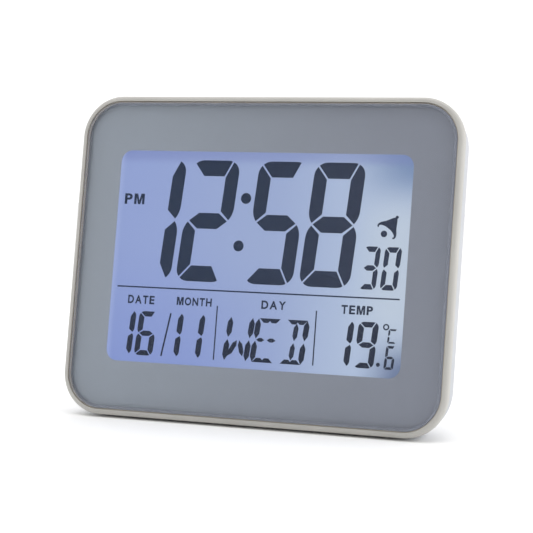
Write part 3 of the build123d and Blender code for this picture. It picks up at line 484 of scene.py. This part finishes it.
# Hours and minutes, with the colon's two round dots
TIME_FOOT = -7.38 * MM
TIME_SIZE = (16.0 * MM, 36.6 * MM, 5.2 * MM, 4.6 * MM)
TIME_GAP = 0.5 * MM
for digit, left_edge in (("1", -42.1), ("2", -24.93), ("5", -3.33), ("8", 14.07)):
    lay_number(f"time_{digit}", digit, left_edge * MM, TIME_FOOT, 0.0, *TIME_SIZE, TIME_GAP)
colon = [arc(x * MM, y * MM, 1.62 * MM, 0, 345, 23) for x, y in ((-4.44, 17.9), (-5.72, 3.85))]
lay_plates("colon_dots", colon)

# Seconds and the bell
SECONDS_SIZE = (5.3 * MM, 12.6 * MM, 1.85 * MM, 1.7 * MM)
lay_number("seconds", "30", 32.5 * MM, -7.3 * MM, 6.25 * MM, *SECONDS_SIZE, 0.3 * MM)

BELL_HALF = [
    (0.0, 6.45),
    (0.35, 6.3),
    (0.42, 5.95),
    (0.32, 5.6),
    (0.75, 5.0),
    (1.3, 3.9),
    (1.85, 2.9),
    (2.7, 1.75),
    (3.0, 0.9),
    (2.95, 0.25),
    (2.6, -0.1),
    (2.3, 0.15),
    (2.55, 0.5),
    (2.35, 0.95),
    (1.7, 1.35),
    (0.9, 1.6),
]
BELL_FOOT = (38.9, 9.2)
BELL_TURN = math.radians(-36)
BELL_SPREAD = 1.1
BELL_RISE = 0.93


def bell_outline():
    """The bell's half outline and its mirror image, tipped to the right."""
    other = [(-x, y) for x, y in reversed(BELL_HALF[1:])]
    across = math.cos(BELL_TURN)
    along = math.sin(BELL_TURN)
    sized = [(x * BELL_SPREAD, y * BELL_RISE) for x, y in BELL_HALF + other]
    tipped = [(x * across - y * along, x * along + y * across) for x, y in sized]
    return [((x + BELL_FOOT[0]) * MM, (y + BELL_FOOT[1]) * MM) for x, y in tipped]


clapper = arc(38.55 * MM, 8.85 * MM, 0.95 * MM, 0, 340, 17)
lay_plates("bell", [bell_outline(), clapper])


# Rules between the fields
def stroke(x0, y0, x1, y1, width):
    """A straight line of even width between two places on the face, in millimetres."""
    along = Vector((x1 - x0, y1 - y0)).normalized() * width / 2
    side = Vector((-along.y, along.x))
    ends = ((x0, y0, side), (x0, y0, -side), (x1, y1, -side), (x1, y1, side))
    return [((x + s.x) * MM, (y + s.y) * MM) for x, y, s in ends]


rules = [
    stroke(-44.0, -9.55, 44.5, -9.55, 0.42),
    stroke(-10.95, -14.0, -10.95, -29.8, 0.38),
    stroke(19.95, -13.9, 19.95, -29.6, 0.38),
    stroke(-25.7, -16.9, -27.9, -29.7, 0.5),
]
lay_plates("rules", rules)

# Date, month, weekday and temperature
SMALL_SIZE = (6.35 * MM, 13.45 * MM, 1.85 * MM, 2.05 * MM)
SMALL_GAP = 0.3 * MM
TENTH_SIZE = (3.0 * MM, 6.85 * MM, 0.88 * MM, 0.9 * MM)
UNIT_SIZE = (2.85 * MM, 4.25 * MM, 0.66 * MM, 0.7 * MM)
FINE_GAP = 0.14 * MM
lay_number("date", "16", -41.75 * MM, -30.0 * MM, 7.05 * MM, *SMALL_SIZE, SMALL_GAP)
lay_number("month", "11", -26.2 * MM, -30.0 * MM, 6.95 * MM, *SMALL_SIZE, SMALL_GAP)
lay_number("degrees", "19", 26.8 * MM, -29.6 * MM, 7.3 * MM, *SMALL_SIZE, SMALL_GAP)
lay_number("tenth", "6", 43.25 * MM, -29.5 * MM, 0.0, *TENTH_SIZE, FINE_GAP)
lay_number("unit", "C", 43.25 * MM, -22.15 * MM, 0.0, *UNIT_SIZE, FINE_GAP)
lay_plates("tenth_point", [arc(39.4 * MM, -28.2 * MM, 0.6 * MM, 0, 330, 11)])


def ring(x, y, radius, width):
    """A ring as two half rings, in millimetres."""
    halves = []
    for start in (0, 180):
        outer = arc(x * MM, y * MM, (radius + width / 2) * MM, start, start + 180, 12)
        inner = arc(x * MM, y * MM, (radius - width / 2) * MM, start + 180, start, 12)
        halves.append(outer + inner)
    return halves


lay_plates("degree_ring", ring(41.08, -17.5, 0.72, 0.4))


# Weekday characters: pointed uprights, waist bars and slanting strokes, and notched level bars
def spindle(x0, y0, x1, y1, width, point=0.5):
    """A bar with a point at each end, in millimetres; point is the taper over the width."""
    start = Vector((x0, y0))
    end = Vector((x1, y1))
    along = (end - start).normalized()
    side = Vector((-along.y, along.x)) * width / 2
    taper = along * width * point
    one_side = [start + taper - side, end - taper - side]
    other_side = [end - taper + side, start + taper + side]
    corners = [start, *one_side, end, *other_side]
    return [(corner.x * MM, corner.y * MM) for corner in corners]


def notched_bar(x0, x1, outer, inner, dent):
    """A top or bottom bar that narrows inwards, with a small notch at its middle."""
    middle = (x0 + x1) / 2
    step = (inner - outer) * 0.45
    points = [(x0, outer), (x1, outer), (x1 - 1.3, inner), (middle + 0.6, inner)]
    points += [(middle, inner - step), (middle - 0.6, inner), (x0 + 1.3, inner)]
    return [((x + dent) * MM, y * MM) for x, y in points]


DAY_HEAD = -17.0
DAY_FOOT = -29.65
DAY_WAIST = -23.2


def side_bars(x_head, x_foot, width=1.7):
    """The upper and lower uprights at one side of a weekday character."""
    x_waist = (x_head + x_foot) / 2
    upper = spindle(x_waist + 0.05, DAY_WAIST + 0.3, x_head, DAY_HEAD, width, 0.9)
    lower = spindle(x_foot, DAY_FOOT, x_waist - 0.05, DAY_WAIST - 0.3, width, 0.9)
    return [upper, lower]


letter_w = side_bars(-6.2, -7.6) + side_bars(0.6, -0.9)
letter_w.append(spindle(-6.6, -28.3, -4.0, -23.7, 1.4, 0.9))
letter_w.append(spindle(-2.0, -28.3, -3.2, -23.7, 1.4, 0.9))
letter_e = side_bars(2.5, 1.1)
letter_e.append(notched_bar(2.5, 9.0, -16.9, -18.2, 0.2))
letter_e.append(spindle(2.0, DAY_WAIST, 4.6, DAY_WAIST, 1.15, 0.8))
letter_e.append(spindle(5.3, DAY_WAIST, 8.1, DAY_WAIST, 1.15, 0.8))
letter_e.append(notched_bar(1.0, 7.4, -29.7, -28.4, 0.1))
letter_d = side_bars(17.5, 16.1)
letter_d.append(notched_bar(11.2, 17.4, -16.9, -18.2, 0.2))
letter_d.append(notched_bar(9.7, 16.0, -29.7, -28.4, 0.1))
letter_d.append(spindle(13.7, -23.0, 14.3, -17.9, 1.45, 0.9))
letter_d.append(spindle(13.0, -28.6, 13.6, -23.6, 1.45, 0.9))
lay_plates("weekday", letter_w + letter_e + letter_d)


# Fixed words, letter by letter: each has its own width, as shares of the cap height
LETTER_WIDTHS = {
    "A": 0.86, "D": 0.78, "E": 0.66, "F": 0.62, "H": 0.76, "I": 0.22, "L": 0.6, "M": 0.92, "N": 0.78,
    "O": 0.86, "P": 0.68, "R": 0.76, "S": 0.74, "T": 0.7, "U": 0.76, "W": 1.1, "Y": 0.8,
}
LETTER_SPACE = 0.17
LETTER_WEIGHT = 0.032  # how far the strokes are thickened, as a share of the type size
M_HALF = [
    (0.5, 0.0), (0.39, 0.0), (0.23, 0.66), (0.23, 0.0),
    (0.0, 0.0), (0.0, 1.0), (0.33, 1.0), (0.5, 0.36),
]


def letter_mesh(letter):
    """One capital letter as a flat-sided plate of any size, lying face up."""
    bpy.ops.object.select_all(action="DESELECT")
    if letter == "M":
        outline = M_HALF[:-1] + [(1 - x, y) for x, y in reversed(M_HALF[1:-1])]
        outline.insert(len(M_HALF) - 1, M_HALF[-1])
        mesh = bpy.data.meshes.new("letter")
        mesh.from_pydata([(x, y, 0) for x, y in outline], [], [range(len(outline))])
        plate = bpy.data.objects.new("letter", mesh)
        bpy.context.scene.collection.objects.link(plate)
        only(plate)
        bpy.ops.object.mode_set(mode="EDIT")
        bpy.ops.mesh.select_all(action="SELECT")
        bpy.ops.mesh.extrude_region_move(TRANSFORM_OT_translate={"value": (0, 0, 1)})
        bpy.ops.mesh.select_all(action="SELECT")
        bpy.ops.mesh.normals_make_consistent(inside=False)
        bpy.ops.object.mode_set(mode="OBJECT")
        return plate
    bpy.ops.object.text_add()
    text = bpy.context.object
    text.data.body = letter
    text.data.offset = LETTER_WEIGHT
    text.data.extrude = 0.5
    text.data.resolution_u = 6
    bpy.ops.object.convert(target="MESH")
    return bpy.context.object


def lay_word(name, word, left, right, low, high, style=DISPLAY_PRINT):
    """A word fitted between four edges, in millimetres; style is as for plates."""
    finish, slot, body, plane = style
    space = LETTER_SPACE * (len(word) - 1)
    unit = (right - left) / (sum(LETTER_WIDTHS[letter] for letter in word) + space)
    x = left
    letters = []
    for letter in word:
        plate = letter_mesh(letter)
        corners = [Vector(corner) for corner in plate.bound_box]
        least = Vector(min(corner[i] for corner in corners) for i in range(3))
        most = Vector(max(corner[i] for corner in corners) for i in range(3))
        span = most - least
        width = LETTER_WIDTHS[letter] * unit
        sizes = (width * MM / span.x, (high - low) * MM / span.y, PLATE / span.z, 1)
        to_edges = Matrix.Translation((x * MM, low * MM, 0)) @ Matrix.Diagonal(sizes)
        plate.data.transform(plane @ to_edges @ Matrix.Translation(-least))
        letters.append(plate)
        x += width + LETTER_SPACE * unit
    bpy.ops.object.select_all(action="DESELECT")
    for plate in letters:
        plate.select_set(True)
    bpy.context.view_layer.objects.active = letters[0]
    if len(letters) > 1:
        bpy.ops.object.join()
    return finish_piece(letters[0], name, finish, body)


lay_word("word_pm", "PM", -43.85, -37.3, 15.3, 18.5)
lay_word("word_date", "DATE", -40.1, -31.4, -14.55, -12.05)
lay_word("word_month", "MONTH", -24.1, -12.85, -14.35, -11.95)
lay_word("word_day", "DAY", 2.88, 10.45, -14.2, -11.75)
lay_word("word_temp", "TEMP", 27.4, 36.85, -14.4, -11.85)


# ---- Behind the glass ----
# Clear glass and films, then an acrylic guide with ridges on its back, a white reflector and
# a narrow circuit board with two white diodes at the right-hand edge.

cell_glass = Finish("cell_glass", IOR=1.52, Roughness=0.03)
cell_glass.feed("Alpha", cell_glass.noise(20 * MM) * 0.05 + 0.15)
cell_glass.mottle(cell_glass.noise(25 * MM), paint(205, 222, 220), paint(222, 232, 232))
coat(cell_glass, "lcd_front_glass", "lcd_rear_glass")

rear_film = Finish("rear_film", Roughness=0.4)
rear_film.mottle(rear_film.noise(6 * MM), paint(70, 74, 84), paint(88, 92, 102))
coat(rear_film, "lcd_rear_polariser")

white_film = Finish("white_film", Roughness=0.6)
white_film.mottle(white_film.noise(0.3 * MM), paint(228, 228, 226), paint(242, 242, 240))
coat(white_film, "diffuser_film", "reflector_film")

guide_acrylic = Finish("guide_acrylic", IOR=1.49, Roughness=0.08)
guide_acrylic.feed("Alpha", guide_acrylic.noise(3 * MM) * 0.1 + 0.35)
guide_acrylic.mottle(guide_acrylic.noise(2 * MM), paint(226, 234, 240), paint(240, 244, 248))
coat(guide_acrylic, "light_guide")

diode_body = Finish("diode_body", Roughness=0.35)
diode_body.mottle(diode_body.noise(0.8 * MM), paint(240, 236, 214), paint(248, 226, 128))
coat(diode_body, "backlight_leds")

tinned = Finish("tinned", Metallic=1.0)
tinned.mottle(tinned.noise(0.5 * MM), paint(188, 188, 190), paint(214, 214, 216))
tinned.feed("Roughness", tinned.noise(0.4 * MM) * 0.3 + 0.2)
coat(tinned, "led_pins")

holder_white = satin_moulding("holder_white", paint(226, 227, 226), 0.5, 0.4 * MM, 0.004 * MM)
coat(holder_white, "display_frame")

zebra = Finish("zebra", Roughness=0.6)
strip_across, _, _ = zebra.split(zebra.place())
layers = (strip_across * (math.tau / (0.2 * MM))).math("SINE").over(-0.3, 0.3)
zebra.mottle(layers, paint(205, 150, 160), paint(60, 56, 58))
coat(zebra, "connector_strip")


# ---- Circuit board ----
# Green glass-epoxy board with copper tracks under its solder mask. It carries the chip under
# a drop of black epoxy, a crystal, a capacitor, resistors, switches and a thermistor bead.

board_green = Finish("board_green", Specular_IOR_Level=0.5)
board_x, board_up, _ = board_green.split(board_green.place_on_face())
track_x = (board_x * (math.tau / (3.2 * MM)) + board_green.noise(9 * MM) * 5.0).math("SINE").size()
track_z = (board_up * (math.tau / (4.1 * MM)) + board_green.noise(11 * MM) * 5.0).math("SINE").size()
tracks = 1.0 - (track_x.at_most(track_z)).over(0.10, 0.22)
board_green.mottle(tracks, paint(22, 92, 52), paint(44, 126, 70))
board_green.feed("Roughness", board_green.noise(1.5 * MM) * 0.1 + 0.25)
board_green.bump(tracks, 0.03 * MM)
coat(board_green, "main_board", "led_board")

epoxy = Finish("epoxy", Specular_IOR_Level=0.5)
epoxy.mottle(epoxy.noise(2 * MM), paint(14, 14, 15), paint(28, 28, 30))
epoxy.feed("Roughness", epoxy.noise(3 * MM) * 0.15 + 0.12)
epoxy.bump(epoxy.noise(4 * MM), 0.1 * MM)
coat(epoxy, "chip_blob")

drawn_can = Finish("drawn_can", Metallic=1.0)
drawn_can.mottle(drawn_can.noise(1 * MM), paint(176, 178, 182), paint(206, 208, 210))
drawn_can.feed("Roughness", drawn_can.noise(0.3 * MM) * 0.2 + 0.25)
coat(drawn_can, "quartz_crystal", "slide_switch")

shrink_sleeve = Finish("shrink_sleeve", Roughness=0.3)
shrink_sleeve.mottle(shrink_sleeve.noise(2 * MM), paint(22, 24, 60), paint(34, 38, 84))
coat(shrink_sleeve, "capacitor")

chip_black = Finish("chip_black", Roughness=0.4)
chip_black.mottle(chip_black.noise(0.6 * MM), paint(24, 24, 26), paint(44, 44, 48))
coat(chip_black, "chip_resistors")

bead_glass = Finish("bead_glass", Roughness=0.15)
bead_glass.mottle(bead_glass.noise(0.8 * MM), paint(150, 74, 34), paint(186, 110, 60))
coat(bead_glass, "temperature_sensor")

switch_black = satin_moulding("switch_black", paint(44, 44, 47), 0.5, 0.2 * MM, 0.004 * MM)
coat(switch_black, "switch_bodies", "snooze_switch")
PLUNGERS = [f"{key}_plunger" for key in ("set", "up", "down", "alarm", "unit", "snooze")]
coat(switch_black, *PLUNGERS)


# ---- Rear case and battery door ----
# One moulding in the bezel's off-white with a spark-eroded texture, coarser than the bezel's.
# The door is the same plastic and turns on two pins at its lower edge.

REAR_CREAM = paint(190, 192, 197)
case_texture = satin_moulding("case_texture", REAR_CREAM, 0.5, 0.3 * MM, 0.012 * MM)
coat(case_texture, "rear_case", "battery_door")


# ---- Buttons, slide switch and snooze bar ----
# Five round keys and a slider in light grey ABS stand in the rear wall, with pad-printed
# legends over them, and a long bar of the same plastic follows the case's top.

KEY_GREY = paint(150, 154, 161)
BAR_GREY = paint(176, 180, 186)
key_satin = satin_moulding("key_satin", KEY_GREY, 0.45, 0.2 * MM, 0.006 * MM)
bar_satin = satin_moulding("bar_satin", BAR_GREY, 0.45, 0.25 * MM, 0.006 * MM)
KEYS = [f"{key}_button" for key in ("set", "up", "down", "alarm", "unit")]
coat(key_satin, *KEYS, "alarm_slider")
coat(bar_satin, "snooze_bar")

# Legends over the keys and the slider, read from behind
KEY_PROUD = 0.9 * MM  # the keys stand out of the wall by this
INK_LIFT = 0.01 * MM
LEGEND_SIZE = 2.0
LEGEND_HEIGHT = 1.9
LEGEND_DROP = 0.2  # the legend starts this far below the top of the key's hidden flange
SWITCH_LEGEND_LOW = 29.2
SWITCH_LEGEND_HIGH = 30.9
pad_ink = Finish("pad_ink", Roughness=0.5)
pad_ink.mottle(pad_ink.noise(0.3 * MM), paint(92, 96, 104), paint(104, 108, 116))


def rear_plane(node, above):
    """The plane at a distance over a node's rearmost face, seen from behind."""
    depth = reach(node)[0].z + above
    return FACE @ Matrix.Translation((0, 0, depth)) @ Matrix.Rotation(math.pi, 4, "Y")


REAR_PRINT = (pad_ink, "off_white_plastic", "clock", rear_plane("set_button", KEY_PROUD - INK_LIFT))
for key in ("set", "up", "down", "alarm", "unit"):
    key_low, key_high = reach(f"{key}_button")
    middle = -(key_low.x + key_high.x) / 2 / MM
    foot = key_high.y / MM - LEGEND_DROP
    legend = key.upper()
    half = sum(LETTER_WIDTHS[letter] for letter in legend) + LETTER_SPACE * (len(legend) - 1)
    half *= LEGEND_SIZE / 2
    edges = (middle - half, middle + half, foot, foot + LEGEND_HEIGHT)
    lay_word(f"legend_{key}", legend, *edges, REAR_PRINT)
lay_word("legend_on", "ON", -44.6, -41.6, SWITCH_LEGEND_LOW, SWITCH_LEGEND_HIGH, REAR_PRINT)
lay_word("legend_off", "OFF", -36.0, -31.9, SWITCH_LEGEND_LOW, SWITCH_LEGEND_HIGH, REAR_PRINT)

# An arrow printed on the door shows which way it opens
door_low, door_high = reach("battery_door")
door_middle = (door_low.y + door_high.y) / 2
arrow = [(-3.4 * MM, 2.0 * MM), (3.4 * MM, 2.0 * MM), (0.0, -2.0 * MM)]
arrow = [(x, y + door_middle - 4.0 * MM) for x, y in arrow]
DOOR_PRINT = (pad_ink, "off_white_plastic", "battery_door", rear_plane("battery_door", -INK_LIFT))
lay_plates("door_arrow", [arrow], style=DOOR_PRINT)


# ---- Cells and contacts ----
# Two AA cells in printed shrink sleeves lie in the bay, tip to tail, between nickel-plated
# spring-steel contacts that are soldered to the leads.


def cell_sleeve(name, tip_side):
    """A sleeve's two colours and its bright steel ends; tip_side is the end with the nub."""
    finish = Finish(name, Specular_IOR_Level=0.5)
    low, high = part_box(name)
    length = high.x - low.x
    along, _, _ = finish.split(finish.place())
    from_tail = (along - low.x) if tip_side > 0 else (high.x - along)
    band_edge = from_tail.over(length * 0.66, length * 0.665)
    tail = 1.0 - from_tail.over(0.5 * MM, 0.9 * MM)
    tip = from_tail.over(length - 2.6 * MM, length - 2.2 * MM)
    steel = tail.at_least(tip)
    sleeve = finish.mix(band_edge, paint(36, 38, 42), paint(196, 128, 66))
    finish.mottle(steel, sleeve, paint(196, 196, 198))
    finish.feed("Metallic", steel * 0.8 + band_edge * 0.2)
    finish.feed("Roughness", finish.noise(2 * MM) * 0.1 + 0.22)
    return finish


coat(cell_sleeve("upper_cell", 1), "upper_cell")
coat(cell_sleeve("lower_cell", -1), "lower_cell")

nickel = Finish("nickel", Metallic=1.0)
nickel.mottle(nickel.noise(1.5 * MM), paint(190, 186, 176), paint(214, 212, 204))
nickel.feed("Roughness", nickel.noise(0.5 * MM) * 0.25 + 0.22)
coat(nickel, "positive_contact", "negative_contact", "link_contact")

foam = Finish("foam", Roughness=0.9)
foam_cells = foam.noise(0.35 * MM, 3.0)
foam.mottle(foam_cells, paint(34, 34, 37), paint(70, 70, 74))
foam.bump(foam_cells, 0.15 * MM)
coat(foam, "door_pad")


# ---- Leads and sounder ----
# PVC-covered leads run from the contacts and the sounder to the board. The sounder is a thin
# brass disc with a silvered ceramic disc bonded to it.


def lead_cover(name, dark, light):
    """Soft PVC with a dull sheen."""
    finish = Finish(name, Roughness=0.35)
    finish.mottle(finish.noise(1.2 * MM), dark, light)
    finish.bump(finish.noise(0.4 * MM), 0.01 * MM)
    return finish


red_cover = lead_cover("red_cover", paint(158, 22, 20), paint(192, 40, 34))
coat(red_cover, "red_lead", "sounder_lead_inner")
black_cover = lead_cover("black_cover", paint(18, 18, 20), paint(36, 36, 38))
coat(black_cover, "black_lead", "sounder_lead_outer")

brass = Finish("brass", Metallic=1.0)
brass.mottle(brass.noise(3 * MM), paint(190, 150, 82), paint(220, 184, 112))
brass.feed("Roughness", brass.noise(0.6 * MM) * 0.25 + 0.2)
coat(brass, "sounder_disc")

silvered = Finish("silvered", Roughness=0.4)
silvered.mottle(silvered.noise(1.5 * MM), paint(206, 204, 198), paint(224, 222, 216))
coat(silvered, "sounder_ceramic")


# ---- Screws and feet ----
# Zinc-plated pan-head screws close the case and hold the board, and four soft rubber discs
# are pressed into pockets under the base.

zinc = Finish("zinc", Metallic=1.0)
zinc.mottle(zinc.noise(1 * MM), paint(160, 162, 168), paint(196, 198, 202))
zinc.feed("Roughness", zinc.noise(0.25 * MM) * 0.3 + 0.25)
coat(zinc, "case_screws", "board_screws")

rubber = Finish("rubber", Specular_IOR_Level=0.3)
rubber_grain = rubber.noise(0.3 * MM, 3.0)
rubber.mottle(rubber_grain, paint(26, 26, 27), paint(44, 44, 46))
rubber.feed("Roughness", rubber_grain * 0.1 + 0.75)
rubber.bump(rubber_grain, 0.02 * MM)
coat(rubber, "rubber_feet")


# ---- Studio ----
# A white sweep, a white surround that is dimmer on the viewer's side, and three soft lamps.

FLOOR_SIZE = 1.6
bpy.ops.object.select_all(action="DESELECT")
bpy.ops.mesh.primitive_plane_add(size=FLOOR_SIZE)
floor = bpy.context.object
floor.name = "floor"
sweep = Finish("sweep", Roughness=0.9, Specular_IOR_Level=0.0)
sweep.mottle(sweep.noise(0.5), paint(250, 250, 250), paint(252, 252, 252))
floor.data.materials.append(sweep.material)

scene = bpy.context.scene
scene.view_settings.view_transform = "Standard"
surround = bpy.data.worlds.new("surround")
scene.world = surround
surround.use_nodes = True
sky = surround.node_tree
background = sky.nodes["Background"]
direction = sky.nodes.new("ShaderNodeTexCoord")
parts = sky.nodes.new("ShaderNodeSeparateXYZ")
depth_range = sky.nodes.new("ShaderNodeMapRange")
depth_range.inputs["From Min"].default_value = -1.0
depth_range.inputs["From Max"].default_value = 0.3
depth_range.inputs["To Min"].default_value = 0.35
depth_range.inputs["To Max"].default_value = 1.15
sky.links.new(direction.outputs["Generated"], parts.inputs[0])
sky.links.new(parts.outputs["Y"], depth_range.inputs["Value"])
sky.links.new(depth_range.outputs[0], background.inputs["Strength"])
background.inputs["Color"].default_value = (1, 1, 1, 1)


def soft_lamp(name, place, size, power):
    """A square soft box aimed at the clock."""
    data = bpy.data.lights.new(name, "AREA")
    data.size = size
    data.energy = power
    lamp = bpy.data.objects.new(name, data)
    lamp.location = place
    aim = panel_middle - Vector(place)
    lamp.rotation_euler = aim.to_track_quat("-Z", "Y").to_euler()
    scene.collection.objects.link(lamp)


soft_lamp("top_box", place=(-0.1, 0.0, 0.9), size=1.0, power=3.4)
soft_lamp("left_box", place=(-0.9, -0.5, 0.5), size=0.8, power=1.1)
soft_lamp("right_box", place=(0.9, 0.1, 0.4), size=0.8, power=3.0)

CAMERA_PLACE = Vector((0.18604, -0.46545, 0.09907))
CAMERA_TURN = math.radians(21.84)  # to the right of the panel's middle line
CAMERA_RISE = math.radians(6.12)  # looking down
camera_data = bpy.data.cameras.new("camera")
camera_data.lens = 114.8
camera_data.sensor_width = 36.0
camera_data.clip_start = 0.01
camera = bpy.data.objects.new("camera", camera_data)
camera.location = CAMERA_PLACE
sight = Vector((
    -math.sin(CAMERA_TURN) * math.cos(CAMERA_RISE),
    math.cos(CAMERA_TURN) * math.cos(CAMERA_RISE),
    -math.sin(CAMERA_RISE),
))
camera.rotation_euler = sight.to_track_quat("-Z", "Y").to_euler()
scene.collection.objects.link(camera)
scene.camera = camera
